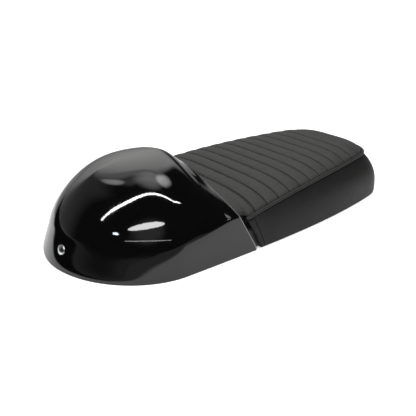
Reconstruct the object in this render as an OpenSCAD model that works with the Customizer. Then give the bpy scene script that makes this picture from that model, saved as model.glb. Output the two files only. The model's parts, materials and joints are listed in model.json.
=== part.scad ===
// Cafe racer seat: a pleated pad on a moulded pan, with a screwed-on tail cowl.
// Millimetres. +X points to the nose of the seat, +Y to its left side, +Z up.
// The origin lies under the middle of the seat, in the plane of its lower edge.
// Stations along the seat are measured forward from the tail of the cowl.

/* [Outline] */
// Length from the tail of the cowl to the nose of the pad
seat_l = 640; // [620:5:660]
// Greatest width, across the lower edge
seat_w = 302; // [290:2:314]
// Length over which the tail rounds to its full width
tail_l = 138; // [130:1:145]
// Fullness of the tail's curve, 2 being an ellipse
tail_full = 1.9; // [1.8:0.05:2.1]
// Loss of half width at the nose
nose_taper = 48; // [40:1:52]
// Length of the two rounded nose corners
nose_l = 65; // [60:1:70]
// Fullness of the nose corners
nose_full = 3.6; // [3:0.1:4]

/* [Pad] */
// Height of the piped edge where the cowl ends
edge_rear_h = 58; // [55:1:61]
// Height of the piped edge at the nose
edge_front_h = 79; // [75:1:84]
// Rise of the pad's middle above the piped edge
crown_h = 15; // [12:1:18]
// Set-back of the piped edge behind the nose's lower edge
nose_set = 20; // [16:1:24]
// Station of the rearmost pleat line
pleat_first = 275; // [272:1:278]
// Spacing of the pleat lines
pleat_pitch = 27; // [26:0.25:27.5]
// Depth of the pleat lines
pleat_depth = 3.2; // [2:0.1:4]
// Thickness of the foam-backed cover
cover_t = 2.4; // [2:0.1:2.6]
// Thickness of the pleated panel at its middle
quilt_t = 7; // [6:0.5:9]
// Radius of the piping
piping_r = 2.6; // [2.2:0.1:2.8]

/* [Cowl] */
// Height of the hump's crest
cowl_h = 140; // [136:1:144]
// Station of the crest
crest_s = 184; // [176:1:190]
// Thickness of the moulding
cowl_t = 3; // [2.6:0.1:3.2]
// Station where the cowl's side ends at its lower edge
cowl_foot_s = 271; // [268:1:273]
// Station of the cowl's upper side corner
corner_s = 238; // [235:1:241]
// Height of the cowl's upper side corner
corner_h = 65; // [63:1:68]
// Station of the middle of the cowl's lip
lip_s = 243; // [240:1:247]
// Height of the middle of the cowl's lip
lip_h = 104.5; // [102:0.5:107]
// Height of the cowl screw
screw_z = 29; // [28:0.5:30]

/* [Base pan] */
// Height of the plate's underside above the lower edge
pan_z = 33; // [32:1:34]
// Wall and plate thickness of the pan
pan_t = 3; // [2.6:0.1:3.4]
// Spacing of the mounting studs along the seat
stud_dx = 220; // [200:5:230]
// Spacing of the mounting studs across the seat
stud_dy = 160; // [150:5:170]

/* [Hidden] */

// Colours
gloss_black = [0.05, 0.05, 0.06];
moulded_black = [0.12, 0.12, 0.12];
grained_vinyl = [0.28, 0.28, 0.27];
smooth_vinyl = [0.2, 0.2, 0.19];
plated_steel = [0.75, 0.76, 0.78];
brass_tone = [0.7, 0.6, 0.35];
foam_tone = [0.85, 0.8, 0.62];
rubber_black = [0.09, 0.09, 0.09];

// Clearance between soft pieces and their neighbours
gap = 0.3;
// The pan's outer face behind the seat's lower outline, its extra set-back at the tail, and its lower edge
rim_in = 5.6;
rim_tail_in = 12.8;
rim_z = cover_t + gap;
// Where the pleated panel closes round the nose, and the pleat lines behind that
cap_s = seat_l - nose_set - nose_l + 23;
pleat_n = floor((cap_s - 4 - pleat_first) / pleat_pitch) + 1;
pleat_last = pleat_first + pleat_pitch * (pleat_n - 1);
// Distance from the piped edge to the edge of the pleated panel
seam_in = 2 * piping_r - 1.2;
// Rear end of the side panel at its top and at its lower edge
side_top_s = corner_s + 17;
side_foot_s = cowl_foot_s + 12;
// Rear end of the pad under the cowl, the step of its sides there, and the radius of its rear corners
pad_rear_s = corner_s - 50;
step_s = side_top_s + 3;
step_in = 12;
foam_step_s = step_s + 9;
pad_rear_r = 30;
// Station of the origin
mid_s = seat_l / 2;
// Cowl: start and fall of its spine, and the inward lean of its wall at the tail and along the side
spine_start = 86;
spine_drop = 14.1;
tail_lean = 0.335;
side_lean = 0.046;
// Place of the cowl screw along the lower outline, right of the middle, and the reach of its head
screw_u = 0.095;
head_out = 3.6;
// Studs
stud_s = seat_l / 2 - 70;
stud_boss_h = 8;
stud_d = 8;
stud_body_d = 7.8;
washer_t = 1.6;
washer_z = pan_z - stud_boss_h - washer_t;
nut_h = 4;
nut_z = washer_z - nut_h;
// Cowl tabs
tab_s = tail_l + 22;
tab_y = seat_w / 2 - 29;
// Buffers
buffer_y = 0.31 * seat_w;
buffer_r = 12;
buffer_h = 14;
// Front hook: station of its rivets, sheet, width and steps
hook_s = seat_l - 95;
hook_t = 3;
hook_w = 40;
hook_back = 15;
hook_bend = 31;
hook_reach = 64;
hook_drop = 14;

function mix(a, b, t) = a + (b - a) * t;
function clamp(x) = min(1, max(0, x));
function smooth(x) = let (t = clamp(x)) t * t * (3 - 2 * t);
// Height of a rounded end at t, from 1 at t = 0 down to 0 at t = 1
function round_end(t, full) = pow(max(0, 1 - pow(clamp(t), full)), 1 / full);

// Plan curves. Points on the left side are found from u: 0 is the tail, 1 the end of the
// tail's rounding, 2 the start of the nose corner and 3 the middle of the nose.
function body_w(s) = seat_w / 2 - nose_taper * pow(clamp((s - tail_l) / (seat_l - tail_l)), 3);
function side_s(u) = mix(tail_l, seat_l - nose_l, u - 1);
function side_u(s) = 1 + (s - tail_l) / (seat_l - nose_l - tail_l);
function corner(u, back, w) =
    let (a = 90 * (u - 2), s = seat_l - nose_l - back + nose_l * pow(sin(a), 2 / nose_full))
    [s, (body_w(s) - w * lean(s)) * pow(max(0, cos(a)), 2 / nose_full)];
// Lower outline
function foot(u) =
    u < 1 ? [tail_l * (1 - pow(cos(90 * u), 2 / tail_full)), seat_w / 2 * pow(sin(90 * u), 2 / tail_full)]
    : u < 2 ? [side_s(u), body_w(side_s(u))]
    : corner(u, 0, 0);
// Piped edge, which leans in more towards the nose
function lean(s) = mix(4, 27, pow(clamp((s - 260) / (seat_l - 260)), 0.8));
function edge_w(s) = body_w(s) - lean(s);
function edge(u) =
    u < 2 ? let (s = side_s(u) - nose_set * smooth((side_s(u) - 300) / (seat_l - nose_l - 300))) [s, edge_w(s)]
    : corner(u, nose_set, 1);
function edge_z(s) =
    edge_front_h - (edge_front_h - edge_rear_h) * pow(1 - clamp((s - 260) / (seat_l - 260)), 2.8);

// Both sides of a left-hand list: from the left rear round the nose, or round the tail
function flip(p) = [p[0], -p[1]];
function round_nose(p) = concat(p, [for (i = [len(p) - 2:-1:0]) flip(p[i])]);
function round_tail(p) = concat([for (i = [len(p) - 1:-1:1]) flip(p[i])], p);
// Plan points moved inwards by d, along the normal on the right of the path
function normal(p, i) =
    let (d = p[min(len(p) - 1, i + 1)] - p[max(0, i - 1)]) [d[1], -d[0]] / norm(d);
function inset(p, d) = [for (i = [0:len(p) - 1]) p[i] + d * normal(p, i)];

// The pan's outline, with a straight middle to its nose
pan_u = [for (i = [0:9]) i / 10, for (i = [0:11]) 1 + i / 12, for (i = [0:16]) 2 + i / 18];
function pan_outline(d) =
    let (p = round_tail([for (u = pan_u) foot(u)]))
    [for (i = [0:len(p) - 1]) p[i] + (d + rim_tail_in * (1 - smooth(p[i][0] / tail_l))) * normal(p, i)];

// Closed sheet between two grids of points, joined round their border
module slab(outer, inner) {
    nu = len(outer);
    nv = len(outer[0]);
    n = nu * nv;
    function id(i, j) = i * nv + j;
    function quad(a, b, c, d) = [[a, b, c], [a, c, d]];
    polyhedron(
        [for (row = outer) each row, for (row = inner) each row],
        [
            for (i = [0:nu - 2], j = [0:nv - 2]) each concat(
                quad(id(i, j), id(i, j + 1), id(i + 1, j + 1), id(i + 1, j)),
                quad(n + id(i, j), n + id(i + 1, j), n + id(i + 1, j + 1), n + id(i, j + 1))
            ),
            for (i = [0:nu - 2]) each concat(
                quad(id(i, 0), id(i + 1, 0), n + id(i + 1, 0), n + id(i, 0)),
                quad(id(i, nv - 1), n + id(i, nv - 1), n + id(i + 1, nv - 1), id(i + 1, nv - 1))
            ),
            for (j = [0:nv - 2]) each concat(
                quad(id(0, j), n + id(0, j), n + id(0, j + 1), id(0, j + 1)),
                quad(id(nu - 1, j), id(nu - 1, j + 1), n + id(nu - 1, j + 1), n + id(nu - 1, j))
            )
        ]
    );
}

// Round bar through a list of points, with n sides
module bar(path, r, n) {
    plan = [for (p = path) [p[0], p[1]]];
    rings = [for (i = [0:len(path) - 1], k = [0:n - 1])
        let (m = normal(plan, i), a = 360 * k / n)
        path[i] + r * [m[0] * cos(a), m[1] * cos(a), sin(a)]];
    last = len(path) - 1;
    polyhedron(rings, [
        for (i = [0:last - 1], k = [0:n - 1]) let (a = i * n, b = (k + 1) % n)
            each [[a + k, a + n + k, a + n + b], [a + k, a + n + b, a + b]],
        [for (k = [0:n - 1]) k],
        [for (k = [n - 1:-1:0]) last * n + k]
    ]);
}

// Tail cowl. Each rib climbs from the lower outline to a side crease and arches over to the spine.
cowl_u = [for (i = [0:8]) i / 9, for (i = [0:9]) mix(1, side_u(cowl_foot_s), i / 9)];
function spine_z(s) =
    s < crest_s ? cowl_h - spine_drop * pow((crest_s - s) / (crest_s - spine_start), 2)
    : mix(cowl_h, lip_h, pow(smooth((s - crest_s) / (lip_s + 12 - crest_s)), 1.14));
function crease_z(s) =
    s < tail_l ? mix(40.5, 27, smooth(s / tail_l))
    : mix(27, corner_h, pow((s - tail_l) / (cowl_foot_s - tail_l), 1.6));
function wall_lean(s) = mix(tail_lean, side_lean, pow(smooth(s / tail_l), 1.35));
// Value along the cowl, from a at the tail through b half way to c at the lip
function along(f, a, b, c) = f < 0.5 ? mix(a, b, smooth(2 * f)) : mix(b, c, smooth(2 * f - 1));
function rib_top(s) = [mix(spine_start, lip_s, s / cowl_foot_s), 0];
// Rib points from the foot at station s, on a foot line moved in by t
function rib(foot_p, s, t) =
    let (
        f = s / cowl_foot_s,
        back = (cowl_foot_s - corner_s) * pow(clamp((s - tail_l) / (cowl_foot_s - tail_l)), 2),
        kz = crease_z(s),
        top = rib_top(s),
        dir = (top - foot_p) / norm(top - foot_p),
        crease = foot_p + wall_lean(s) * kz * dir - [back, 0],
        across = top - crease,
        rise = along(f, 31.3, 60.1, 2.6),
        reach = along(f, 0.478, 0.505, 0.161),
        drop = along(f, 14, 2, 2.6),
        top_z = spine_z(top[0]) - t,
        p0 = [crease[0], crease[1], kz],
        start = mix(0.09, 0.02, pow(smooth(2 * f), 2)),
        p1 = [crease[0] + start * across[0], crease[1] + start * across[1], kz + rise],
        p3 = [top[0], top[1], top_z],
        p2 = [top[0] - reach * across[0], top[1] - reach * across[1], top_z - drop]
    )
    [
        for (k = [0, 0.5]) [mix(foot_p[0], crease[0], k), mix(foot_p[1], crease[1], k), k * kz],
        for (v = [0:0.1:1.001]) let (w = 1 - v)
            w * w * w * p0 + 3 * w * w * v * p1 + 3 * w * v * v * p2 + v * v * v * p3
    ];
function cowl_ribs(t) =
    let (feet = round_tail([for (u = cowl_u) foot(u)]), moved = inset(feet, t), mid = len(cowl_u) - 1)
    [for (i = [0:len(feet) - 1])
        let (r = rib([moved[i][0], abs(moved[i][1])], foot(cowl_u[abs(i - mid)])[0], t))
        [for (p = r) i < mid ? [p[0], -p[1], p[2]] : p]];

module cowl_shell() {
    outer = cowl_ribs(0);
    inner = cowl_ribs(cowl_t);
    nu = len(outer);
    nv = len(outer[0]);
    mid = (nu - 1) / 2;
    n = nu * nv;
    // Ribs of the two sides share their point on the spine
    function id(i, j) = j == nv - 1 && i < mid ? (nu - 1 - i) * nv + j : i * nv + j;
    function quad(a, b, c, d) = [[a, b, c], [a, c, d]];
    polyhedron(
        [for (row = outer) each row, for (row = inner) each row],
        [
            for (i = [0:nu - 2], j = [0:nv - 2]) each concat(
                quad(id(i, j), id(i, j + 1), id(i + 1, j + 1), id(i + 1, j)),
                quad(n + id(i, j), n + id(i + 1, j), n + id(i + 1, j + 1), n + id(i, j + 1))
            ),
            for (i = [0:nu - 2]) each quad(id(i, 0), id(i + 1, 0), n + id(i + 1, 0), n + id(i, 0)),
            for (j = [0:nv - 2]) each concat(
                quad(id(0, j), n + id(0, j), n + id(0, j + 1), id(0, j + 1)),
                quad(id(nu - 1, j), id(nu - 1, j + 1), n + id(nu - 1, j + 1), n + id(nu - 1, j))
            )
        ]
    );
}

// The screw stands square to the cowl's leaning wall, with its local Z pointing inwards
screw_foot = flip(foot(screw_u));
screw_dir = (rib_top(screw_foot[0]) - screw_foot) / norm(rib_top(screw_foot[0]) - screw_foot);
screw_xy = screw_foot + wall_lean(screw_foot[0]) * screw_z * screw_dir;
screw_along = flip(foot(screw_u + 0.02)) - flip(foot(screw_u - 0.02));
screw_yaw = atan2(screw_along[0], -screw_along[1]);
module at_screw(d) {
    translate([screw_xy[0], screw_xy[1], screw_z]) rotate([0, 90 + atan(tail_lean), screw_yaw])
        translate([0, 0, d]) children();
}

module seat_cowl() {
    color(gloss_black) difference() {
        cowl_shell();
        at_screw(-2) cylinder(h = 12, d = 6.6, $fn = 48);
        at_screw(-2) cylinder(h = 3.2, d = 17.4, $fn = 48);
    }
}

module cowl_screw() {
    color(plated_steel) difference() {
        union() {
            at_screw(-0.6) cylinder(h = 15, d = 5.9, $fn = 48);
            // Low domed head
            at_screw(-0.5) rotate([180, 0, 0]) rotate_extrude($fn = 64)
                intersection() {
                    translate([0, -9.2]) circle(r = 12.3, $fn = 96);
                    square([7.2, 4]);
                }
        }
        // Cross recess
        for (a = [0, 90]) at_screw(-head_out - 1) rotate([0, 0, a + 20])
            translate([-2.6, -0.5, 0]) cube([5.2, 1, 2.8]);
    }
}

module cowl_washer() {
    color(plated_steel) at_screw(-0.4) difference() {
        cylinder(h = 1.6, d = 16.6, $fn = 64);
        translate([0, 0, -1]) cylinder(h = 4, d = 6.2, $fn = 48);
    }
}

// Threaded insert with a thin flange, its bore along Z
module insert(flange_d, flange_t, body_d, l) {
    difference() {
        union() {
            cylinder(h = flange_t, d = flange_d, $fn = 48);
            cylinder(h = l, d = body_d, $fn = 48);
        }
        translate([0, 0, -1]) cylinder(h = l + 2, d = 6, $fn = 48);
    }
}

module cowl_insert() {
    color(brass_tone) at_screw(cowl_t + 0.5) insert(12, 0.8, 9, 11);
}

// Angle bonded inside each side of the cowl and screwed up under the pan
module cowl_tabs() {
    w = body_w(tab_s);
    function wall_y(z) = w - cowl_t - side_lean * z - 2 * gap;
    color(plated_steel) for (side = [-1, 1]) difference() {
        translate([tab_s - 12, 0, 0]) rotate([90, 0, 90]) linear_extrude(24) polygon([
            for (p = [[wall_y(10), 10], [wall_y(pan_z - 0.2), pan_z - 0.2], [tab_y - 12, pan_z - 0.2],
                [tab_y - 12, pan_z - 2.2], [wall_y(10) - 2, pan_z - 2.2], [wall_y(10) - 2, 10]])
                [side * p[0], p[1]]
        ]);
        translate([tab_s, side * tab_y, 0]) cylinder(h = 60, d = 6.6, $fn = 48);
    }
}

module tab_screws() {
    color(plated_steel) for (side = [-1, 1]) translate([tab_s, side * tab_y, pan_z - 2.4]) {
        cylinder(h = 14, d = 5.9, $fn = 48);
        translate([0, 0, -1.2]) cylinder(h = 1.2, d = 14, $fn = 48);
        translate([0, 0, -6]) cylinder(h = 5, d = 11.5, $fn = 6);
    }
}

module tab_inserts() {
    color(brass_tone) for (side = [-1, 1]) translate([tab_s, side * tab_y, pan_z + pan_t + 1])
        rotate([180, 0, 0]) insert(13, 1, 9, pan_t + 1);
}

// Moulded pan: plate, turned-down rim, ribs and bosses
module base_pan() {
    plate_top = pan_z + pan_t;
    rib_h = 12;
    rib_t = 2.5;
    color(moulded_black) difference() {
        union() {
            translate([0, 0, pan_z]) linear_extrude(pan_t) polygon(pan_outline(rim_in + 1));
            translate([0, 0, rim_z]) linear_extrude(pan_z + 0.8 - rim_z) difference() {
                polygon(pan_outline(rim_in));
                polygon(pan_outline(rim_in + pan_t));
            }
            for (side = [-1, 1])
                translate([tail_l / 2, side * 40 - rib_t / 2, pan_z - rib_h])
                    cube([seat_l - 120 - tail_l / 2, rib_t, rib_h + 1]);
            for (k = [0.32, 0.5, 0.64]) let (s = k * seat_l, w = body_w(s) - rim_in - 1)
                translate([s - rib_t / 2, -w, pan_z - rib_h]) cube([rib_t, 2 * w, rib_h + 1]);
            at_studs(pan_z - stud_boss_h) cylinder(h = stud_boss_h + 1, d = 28, $fn = 64);
            // Boss behind the cowl screw
            at_screw(cowl_t + 1.3) cylinder(h = 10, d = 15, $fn = 48);
        }
        // Studs, sunk flush at the top
        at_studs(0) cylinder(h = 60, d = 8.4, $fn = 48);
        at_studs(plate_top - 2.4) cylinder(h = 10, d = 23, $fn = 64);
        // Buffer pegs, hook rivets and vents
        at_buffers(0) cylinder(h = 60, d = 8.4, $fn = 48);
        for (side = [-1, 1]) translate([hook_s, side * 12, 0]) cylinder(h = 60, d = 5, $fn = 48);
        for (k = [0.45, 0.57, 0.69, 0.78]) translate([k * seat_l, 0, 0]) cylinder(h = 60, d = 8, $fn = 48);
        // Tab screws and the windows that the tabs pass through
        for (side = [-1, 1]) {
            translate([tab_s, side * tab_y, 0]) cylinder(h = 60, d = 9, $fn = 48);
            translate([tab_s - 14, side * (body_w(tab_s) - 8) - 5, 0]) cube([28, 10, pan_z]);
        }
        at_screw(0) cylinder(h = 24, d = 9, $fn = 48);
    }
}

// Shape of the pad across its width, f running from -1 to 1
function dome(f) = pow(max(0, 1 - pow(abs(f), 3.8)), 0.6);
function crown(s) = let (d = (max(s, 260) - 450) / 190) crown_h + (d < 0 ? 6 : 3) * d * d;
across_f = [for (j = [0:18]) sin(mix(-90, 90, j / 18))];
// Point of the pleated panel's front end for each f
function cap_angle(f) = acos(pow(0.9 * abs(f), nose_full / 2));
function nose_pt(a, in) =
    let (s0 = seat_l - nose_set - nose_l, s = s0 + (nose_l - in) * pow(sin(a), 2 / nose_full))
    [s, (edge_w(s) - in) * pow(max(0, cos(a)), 2 / nose_full)];
function top_w(s, in, step = step_s) =
    (edge_w(s) - in) * round_end((s - seat_l + nose_set + nose_l) / (nose_l - in), nose_full)
    - (s < step ? step_in : 0);
// Plan point of the panel in its nose cap at depth t from 0 to 1
function cap_pt(f, t, in) =
    let (
        a0 = asin(pow((cap_s - seat_l + nose_set + nose_l) / (nose_l - in), nose_full / 2)),
        a1 = cap_angle(1),
        line = [cap_s, abs(f) * top_w(cap_s, in)],
        front = nose_pt(cap_angle(f), in),
        bulge = nose_pt(mix(a0, a1, t), in) - mix(nose_pt(a0, in), nose_pt(a1, in), t),
        p = mix(line, front, t) + pow(abs(f), 8) * bulge
    )
    [p[0], sign(f) * p[1]];
// Height of the smooth pad surface, without pleats
fall_s = seat_l - nose_set - 90;
function pad_rise(p, f, in) =
    let (d = clamp((p[0] - fall_s) / (nose_pt(cap_angle(f), in)[0] - fall_s))) dome(f) * round_end(d, 2.6);
// Rows of plan points: [point, f, pleat dip]
function main_row(s, dip, in, step = step_s) = [for (f = across_f) [[s, f * top_w(s, in, step)], f, dip]];
function cap_row(t, in) = [for (f = across_f) [cap_pt(f, t, in), f, 0]];
cap_t = [for (k = [1:6]) sin(90 * k / 6)];

// Upper surface at depth: 0 on the outside of the pleated panel, 1 on its inside
function pad_point(c, in, depth) =
    let (
        p = c[0],
        rise = pad_rise(p, c[1], in),
        top = edge_z(p[0]) + crown(p[0]) * rise,
        dip = depth == 0 ? pleat_depth * c[2] * (1 - pow(c[1], 6)) : 0,
        deep = depth * (cover_t + (quilt_t - cover_t) * rise)
    )
    [p[0], p[1], top - dip - deep];

module top_panel() {
    pleats = [for (k = [0:pleat_n - 2], d = [[0, 1], [0.14, 0.28], [0.5, 0], [0.86, 0.28]])
        [pleat_first + (k + d[0]) * pleat_pitch, d[1]]];
    rows = concat(
        [[pad_rear_s, 0], [step_s - 0.5, 0], [step_s, 0], [pleat_first - 5, 0.2]],
        pleats,
        [[pleat_last, 1], [cap_s, 0.2]]
    );
    plan = concat([for (r = rows) main_row(r[0], r[1], seam_in)], [for (t = cap_t) cap_row(t, seam_in)]);
    color(grained_vinyl) slab(
        [for (row = plan) [for (c = row) pad_point(c, seam_in, 0)]],
        [for (row = plan) [for (c = row) pad_point(c, seam_in, 1)]]
    );
}

// Foam block, flat on the pan, with rounded rear corners
module pad_foam() {
    in = seam_in + cover_t + gap;
    rear = pad_rear_s + cover_t + gap;
    r = pad_rear_r - cover_t;
    // Narrowing of the rear corners at station s
    function tuck(s) = let (d = clamp(1 - (s - rear) / r)) r * (1 - sqrt(1 - d * d));
    rows = concat([for (k = [0, 0.04, 0.15, 0.35, 0.65, 1]) rear + k * r], [step_s - 0.5, foam_step_s - 0.1, foam_step_s],
        [for (i = [1:8]) mix(foam_step_s, cap_s, i / 8)]);
    plan = concat(
        [for (s = rows) [for (c = main_row(s, 0, in, foam_step_s)) [c[0] - [0, c[1] * tuck(s)], c[1], 0]]],
        [for (k = [1, 3, 5]) cap_row(cap_t[k], in)]
    );
    floor_z = pan_z + pan_t + gap;
    color(foam_tone) slab(
        [for (row = plan) [for (c = row)
            let (p = pad_point([c[0], c[1], 0], in, 1)) [p[0], p[1], p[2] - gap - 0.6 * (1 - dome(c[1]))]]],
        [for (row = plan) [for (c = row)
            let (p = c[0], d = clamp((p[0] - foam_step_s) / (seat_l - nose_set - foam_step_s)))
            [p[0] + 0.8 * nose_set * d * d * d, p[1] * (1 + 0.6 * lean(p[0]) / edge_w(p[0]) * clamp((p[0] - foam_step_s) / 30)),
             floor_z]]]
    );
}

// Side cover: down from the piping, round the pan's lower edge and up inside it
hem_in = rim_in + pan_t + 3 * gap;
module side_panel() {
    h_rows = [1, 0.85, 0.7, 0.55, 0.42, 0.2];
    // u of column i at height h: the first columns fan out to the sloping rear end
    function col_u(i, h) =
        let (u0 = side_u(mix(side_foot_s, side_top_s, h)), u3 = side_u(side_foot_s + 37))
        i <= 3 ? mix(u0, u3, i / 3) : i <= 11 ? mix(u3, 2, (i - 3) / 8) : 2 + (i - 11) / 9;
    function tilt(h) = pow(h, 3);
    function plan_row(h) = round_nose([for (i = [0:20]) let (u = col_u(i, h)) mix(foot(u), edge(u), tilt(h))]);
    function top_z(i) = edge_z(edge(col_u(min(i, 40 - i), 1))[0]) - 2 * piping_r + 0.6;
    function wall(h, d) =
        let (p = inset(plan_row(h), d)) [for (i = [0:40]) [p[i][0], p[i][1], h * top_z(i)]];
    function hem(d, z) = let (p = inset(plan_row(0), d)) [for (q = p) [q[0], q[1], z]];
    color(smooth_vinyl) slab(
        concat(
            [for (h = h_rows) wall(h, 0)],
            [hem(0, 3.2), hem(0.8, 0.8), hem(3, 0), hem(hem_in, 0), hem(hem_in + cover_t, cover_t), hem(hem_in + cover_t, 15)]
        ),
        concat(
            [for (h = h_rows) wall(h, cover_t)],
            [hem(cover_t, 3.4), hem(cover_t + 0.1, 3), hem(3.2, cover_t), hem(hem_in - 0.2, cover_t),
             hem(hem_in, cover_t + 0.2), hem(hem_in, 15)]
        )
    );
}

// Cover round the pad's stepped-in rear end, turned out at its ends over the face of the step
module rear_panel() {
    r = pad_rear_r;
    y = top_w(step_s - 1, seam_in);
    s0 = pad_rear_s;
    s1 = foam_step_s - cover_t + 1 - gap;
    end = [[s1, y + step_in - 2], [s1, y + 4], [s1 - 0.9, y + 1.4], [s1 - 2.6, y + 0.3], [s1 - 6, y], [s0 + r + 7, y]];
    path = concat(
        [for (p = end) flip(p)],
        [for (a = [0:15:90]) [s0 + r - r * sin(a), -y + r - r * cos(a)]],
        [for (a = [90:-15:0]) [s0 + r - r * sin(a), y - r + r * cos(a)]],
        [for (i = [len(end) - 1:-1:0]) end[i]]
    );
    low = pan_z + pan_t + gap;
    high = edge_rear_h - cover_t - gap;
    function wall(d, z) = [for (p = inset(path, d)) [p[0], p[1], z]];
    color(smooth_vinyl) slab(
        [wall(-1, low), wall(-1, high)],
        [wall(cover_t - 1, low), wall(cover_t - 1, high)]
    );
}

module piping() {
    us = concat([for (i = [0:14]) mix(side_u(side_top_s), 2, i / 14)], [for (i = [1:9]) 2 + i / 9]);
    plan = inset(round_nose([for (u = us) edge(u)]), 0.8);
    path = [for (p = plan) [p[0], p[1], edge_z(p[0]) - 1.2]];
    color(smooth_vinyl) bar(path, piping_r, 10);
}

// Wire staples that hold the cover's hem against the inside of the pan's rim
module cover_staples() {
    d = hem_in + cover_t;
    us = [for (i = [0:9]) mix(side_u(side_foot_s + 17), 2.75, i / 9)];
    color(plated_steel) for (side = [-1, 1], u = us) {
        p = foot(u);
        q = foot(u + 0.01);
        n = [q[1] - p[1], p[0] - q[0]] / norm(q - p);
        c = p + (d + 0.1) * n;
        translate([c[0], side * c[1], 9]) rotate([0, 0, side * atan2(n[1], n[0])])
            translate([0, -5, -0.4]) {
                cube([0.8, 10, 0.8]);
                translate([-3, 0, 0]) cube([3.4, 0.8, 0.8]);
                translate([-3, 9.2, 0]) cube([3.4, 0.8, 0.8]);
            }
    }
}

module at_studs(z) {
    for (s = [stud_s, stud_s + stud_dx], side = [-1, 1]) translate([s, side * stud_dy / 2, z]) children();
}

module mount_studs() {
    head_z = pan_z + pan_t - 2.2;
    free_l = nut_z - 4.6;
    color(plated_steel) at_studs(4) {
        cylinder(h = free_l, d = stud_d, $fn = 48);
        cylinder(h = head_z - 3, d = stud_body_d, $fn = 48);
        translate([0, 0, head_z - 4]) cylinder(h = 2, d = 22, $fn = 64);
    }
}

module stud_washers() {
    color(plated_steel) at_studs(washer_z) difference() {
        cylinder(h = washer_t, d = 16, $fn = 48);
        translate([0, 0, -1]) cylinder(h = 4, d = 8.4, $fn = 48);
    }
}

module stud_nuts() {
    color(plated_steel) at_studs(nut_z) difference() {
        intersection() {
            cylinder(h = nut_h, d = 15, $fn = 6);
            cylinder(h = nut_h, d1 = 13.4, d2 = 21, $fn = 48);
        }
        translate([0, 0, -1]) cylinder(h = nut_h + 2, d = stud_body_d, $fn = 48);
    }
}

module at_buffers(z) {
    for (s = [tail_l - 18, seat_l - 120], side = [-1, 1]) translate([s, side * buffer_y, z]) children();
}

module rubber_buffers() {
    round_r = buffer_r / 4;
    color(rubber_black) at_buffers(pan_z - buffer_h) {
        rotate_extrude($fn = 64) {
            difference() {
                square([buffer_r, buffer_h]);
                translate([buffer_r - round_r, 0]) square([round_r + 1, round_r]);
            }
            translate([buffer_r - round_r, round_r]) circle(r = round_r, $fn = 48);
        }
        cylinder(h = buffer_h + pan_t, d = 8, $fn = 48);
    }
}

// Strap bent down and forward, to hook under the frame
module front_hook() {
    t = hook_t;
    b = hook_bend;
    low = -hook_drop;
    color(plated_steel) difference() {
        translate([hook_s - hook_back, hook_w / 2, pan_z - t]) rotate([90, 0, 0]) linear_extrude(hook_w)
            polygon([[0, 0], [b, 0], [b + t, low], [hook_reach, low], [hook_reach, low + t], [b + 2 * t, low + t],
                [b + t, t], [0, t]]);
        for (side = [-1, 1]) translate([hook_s, side * 12, 0]) cylinder(h = 60, d = 5, $fn = 48);
    }
}

module hook_rivets() {
    color(plated_steel) for (side = [-1, 1]) translate([hook_s, side * 12, pan_z - hook_t]) {
        cylinder(h = pan_t + hook_t, d = 4.8, $fn = 48);
        translate([0, 0, -1.6]) cylinder(h = 1.6, d1 = 6, d2 = 9, $fn = 48);
    }
}

module place() {
    translate([-mid_s, 0, 0]) children();
}

place() seat_cowl();
place() cowl_screw();
place() cowl_washer();
place() cowl_insert();
place() cowl_tabs();
place() tab_screws();
place() tab_inserts();
place() base_pan();
place() pad_foam();
place() top_panel();
place() side_panel();
place() rear_panel();
place() piping();
place() cover_staples();
place() mount_studs();
place() stud_washers();
place() stud_nuts();
place() rubber_buffers();
place() front_hook();
place() hook_rivets();
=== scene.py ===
import json
import math

import bmesh
import bpy
import numpy as np
from mathutils import Matrix, Vector
from mathutils.kdtree import KDTree


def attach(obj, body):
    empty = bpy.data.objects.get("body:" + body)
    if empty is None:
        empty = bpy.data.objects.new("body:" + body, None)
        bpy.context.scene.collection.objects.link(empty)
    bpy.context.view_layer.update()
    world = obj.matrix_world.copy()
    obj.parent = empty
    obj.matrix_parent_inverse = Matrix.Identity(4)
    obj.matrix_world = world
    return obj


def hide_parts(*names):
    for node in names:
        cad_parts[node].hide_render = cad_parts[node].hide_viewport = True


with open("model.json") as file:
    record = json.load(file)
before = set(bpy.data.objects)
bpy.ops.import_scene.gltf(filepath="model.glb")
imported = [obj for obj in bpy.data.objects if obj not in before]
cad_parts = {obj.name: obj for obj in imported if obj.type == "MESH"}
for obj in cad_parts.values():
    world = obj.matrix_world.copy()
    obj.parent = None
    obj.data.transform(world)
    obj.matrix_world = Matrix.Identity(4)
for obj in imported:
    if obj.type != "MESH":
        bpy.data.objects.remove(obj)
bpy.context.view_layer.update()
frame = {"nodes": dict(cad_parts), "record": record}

# Sizes in millimetres. Stations run forward from the tail of the cowl.
# Plan outline: length, width, the round tail, and the taper and rounding of the nose
SEAT_L, SEAT_W, TAIL_L, TAIL_FULL = 640.0, 302.0, 138.0, 1.9
NOSE_TAPER, NOSE_L, NOSE_FULL, NOSE_SET = 48.0, 65.0, 3.6, 20.0
MID_S = SEAT_L / 2
# Pad: height of its piped edge and lean of its sides from EDGE_S forward, and its crown over a low waist
EDGE_S, EDGE_REAR_H, EDGE_FRONT_H, LEAN_REAR, LEAN_FRONT = 260.0, 58.0, 79.0, 4.0, 27.0
EDGE_BOW, LEAN_BOW = 2.8, 0.8
CROWN_H, WAIST_S, WAIST_L, REAR_RISE, FRONT_RISE = 16.0, 450.0, 190.0, 6.5, 3.0
FALL_S = SEAT_L - NOSE_SET - 90
# Fullness of the crown across the pad and of its fall to the nose, and how round each ends
DOME_FULL, DOME_END, FALL_FULL, FALL_END = 3.8, 0.6, 2.3, 2.2
# Vinyl, and its piping, whose middle lies in from the edge and below it
COVER_T, QUILT_T, PIPING_R, PIPING_IN, PIPING_DOWN = 2.4, 7.0, 2.6, 0.8, 1.2
SEAM_IN = 2 * PIPING_R - 1.2
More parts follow.
